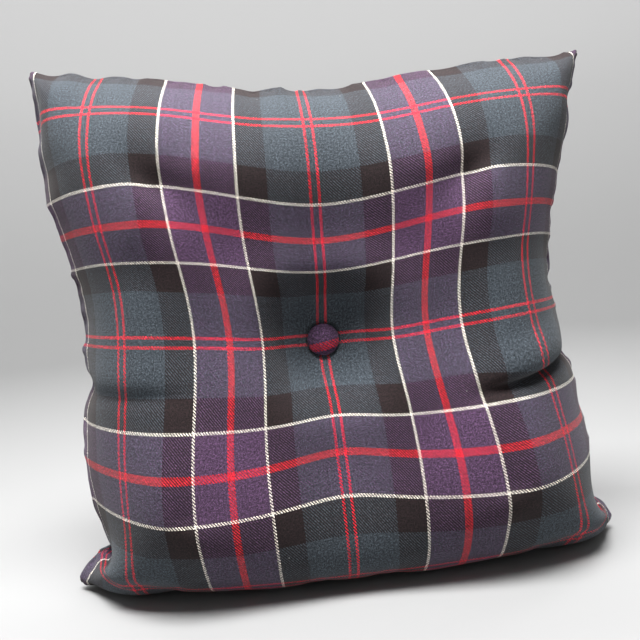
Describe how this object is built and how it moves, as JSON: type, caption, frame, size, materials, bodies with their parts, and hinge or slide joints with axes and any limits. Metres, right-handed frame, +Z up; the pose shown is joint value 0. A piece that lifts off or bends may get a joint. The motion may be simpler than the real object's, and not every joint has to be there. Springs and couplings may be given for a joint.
{
  "type": "scatter cushion",
  "caption": "Square knife-edge scatter cushion in tartan cloth, tufted through its centre with cloth-covered buttons that swivel on their shanks.",
  "frame": {"origin": "on the ground, under the middle of the cushion's foot", "axes": "+Z up; the buttoned front face looks towards -Y; X along the width"},
  "size_m": [0.428, 0.1714, 0.376],
  "materials": {
    "tartan": "matt worsted twill",
    "sewing_thread": "matt spun thread",
    "pad_cotton": "matt downproof cotton",
    "pad_thread": "matt cotton thread",
    "fibre_filling": "soft loose fibre",
    "button_metal": "plain pressed",
    "shank_wire": "drawn wire",
    "waxed_twine": "waxed"
  },
  "bodies": {
    "cushion": {"front_cover": "tartan", "back_cover": "tartan", "cover_seam_thread": "sewing_thread", "cover_overlock_thread": "sewing_thread", "closing_stitches": "sewing_thread", "pad_case_front": "pad_cotton", "pad_case_back": "pad_cotton", "pad_seam_thread": "pad_thread", "filling": "fibre_filling", "tufting_twine": "waxed_twine", "twine_knot": "waxed_twine"},
    "front_button": {"front_button_cloth": "tartan", "front_button_shell": "button_metal", "front_button_back": "button_metal", "front_button_loop": "shank_wire"},
    "back_button": {"back_button_cloth": "tartan", "back_button_shell": "button_metal", "back_button_back": "button_metal", "back_button_loop": "shank_wire"}
  },
  "joints": [
    {"name": "front_button_swivel", "type": "hinge", "parent": "cushion", "child": "front_button", "pos_m": [0, -0.0303, 0.168], "axis": [0, -1, 0], "range_deg": [-35, 35]},
    {"name": "back_button_swivel", "type": "hinge", "parent": "cushion", "child": "back_button", "pos_m": [0, 0.0303, 0.168], "axis": [0, 1, 0], "range_deg": [-35, 35]}
  ]
}
